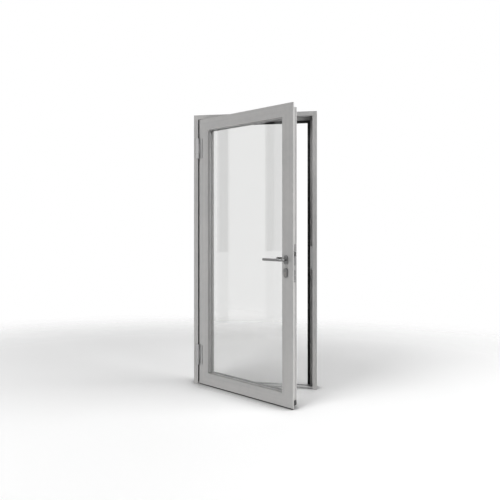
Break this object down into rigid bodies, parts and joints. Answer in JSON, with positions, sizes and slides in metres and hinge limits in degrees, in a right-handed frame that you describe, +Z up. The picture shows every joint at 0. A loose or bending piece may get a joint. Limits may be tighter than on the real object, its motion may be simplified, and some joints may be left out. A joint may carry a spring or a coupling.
{
  "type": "glass door",
  "caption": "Single-leaf glazed door standing open in its metal frame, with lever handles, a key cylinder, barrel hinges, rubber seals and a low threshold.",
  "frame": {"origin": "middle of the threshold's underside, on the floor, half way between the frame's front and back faces", "axes": "+X towards the lock jamb, +Y from the face with the hinges to the back, +Z up; the leaf stands open by 30 degrees towards -Y"},
  "size_m": [1, 0.57, 2.2],
  "materials": {
    "profile_paint": "satin grey coating",
    "mill_aluminium": "anodised",
    "black_plastic": "matte",
    "black_rubber": "matte",
    "grey_rubber": "matte",
    "clear_glass": "clear, pale",
    "satin_steel": "satin",
    "satin_nickel": "nickel plated, satin",
    "hinge_metal": "satin anodised"
  },
  "bodies": {
    "frame": {"hinge_jamb_front_shell": "profile_paint", "hinge_jamb_rear_shell": "profile_paint", "lock_jamb_front_shell": "profile_paint", "lock_jamb_rear_shell": "profile_paint", "head_front_shell": "profile_paint", "head_rear_shell": "profile_paint", "frame_thermal_bars": "black_plastic", "frame_corner_cleats": "mill_aluminium", "threshold_front_shell": "mill_aluminium", "threshold_core": "black_plastic", "threshold_rear_shell": "mill_aluminium", "frame_stop_gasket": "black_rubber", "strike_keep": "satin_steel", "upper_hinge_frame_part": "hinge_metal", "lower_hinge_frame_part": "hinge_metal", "hinge_pins": "satin_steel", "hinge_pin_caps": "hinge_metal", "frame_screws": "satin_steel"},
    "leaf": {"leaf_hinge_stile_front_shell": "profile_paint", "leaf_hinge_stile_rear_shell": "profile_paint", "leaf_hinge_stile_glazing_bead": "profile_paint", "leaf_lock_stile_front_shell": "profile_paint", "leaf_lock_stile_rear_shell": "profile_paint", "leaf_lock_stile_glazing_bead": "profile_paint", "leaf_top_rail_front_shell": "profile_paint", "leaf_top_rail_rear_shell": "profile_paint", "leaf_top_rail_glazing_bead": "profile_paint", "leaf_bottom_rail_front_shell": "profile_paint", "leaf_bottom_rail_rear_shell": "profile_paint", "leaf_bottom_rail_glazing_bead": "profile_paint", "leaf_thermal_bars": "black_plastic", "leaf_corner_cleats": "mill_aluminium", "front_pane": "clear_glass", "rear_pane": "clear_glass", "glass_spacer": "mill_aluminium", "glass_edge_seal": "black_rubber", "glass_setting_blocks": "black_plastic", "front_glazing_gasket": "grey_rubber", "rear_glazing_gasket": "grey_rubber", "bottom_seal_carrier": "mill_aluminium", "bottom_seal_lips": "black_rubber", "bottom_seal_end_caps": "black_plastic", "lock_case": "satin_steel", "lock_faceplate": "satin_steel", "cylinder_housing": "satin_nickel", "front_lever_rose": "satin_steel", "rear_lever_rose": "satin_steel", "front_escutcheon": "satin_steel", "rear_escutcheon": "satin_steel", "upper_hinge_leaf_part": "hinge_metal", "lower_hinge_leaf_part": "hinge_metal", "hinge_bushes": "black_plastic", "leaf_screws": "satin_steel"},
    "handle": {"front_lever": "satin_steel", "rear_lever": "satin_steel", "lever_spindle": "satin_steel", "lock_follower": "satin_steel"},
    "latch": {"latch_bolt": "satin_steel"},
    "bolt": {"deadbolt": "satin_steel"},
    "plug": {"cylinder_plug": "satin_nickel"}
  },
  "joints": [
    {"name": "leaf_swing", "type": "hinge", "parent": "frame", "child": "leaf", "pos_m": [-0.4625, -0.061, 1.08], "axis": [0, 0, -1], "range_deg": [-30, 140]},
    {"name": "lever_turn", "type": "hinge", "parent": "leaf", "child": "handle", "pos_m": [0.29195, -0.47926, 1.05], "axis": [-0.5, -0.866, 0], "range_deg": [0, 42], "stiffness_Nm_per_rad": 3, "springref_deg": -22.92},
    {"name": "latch_slide", "type": "slide", "parent": "leaf", "child": "latch", "axis": [-0.866, 0.5, 0], "range_m": [0, 0.012]},
    {"name": "plug_turn", "type": "hinge", "parent": "leaf", "child": "plug", "pos_m": [0.29195, -0.47926, 0.958], "axis": [-0.5, -0.866, 0], "range_deg": [0, 360]},
    {"name": "deadbolt_slide", "type": "slide", "parent": "leaf", "child": "bolt", "axis": [0.866, -0.5, 0], "range_m": [0, 0.02]}
  ],
  "couplings": [
    {"joint": "latch_slide", "follows": "lever_turn", "m_per_rad": 0.01637},
    {"joint": "plug_turn", "follows": "deadbolt_slide", "rad_per_m": 314.1}
  ]
}
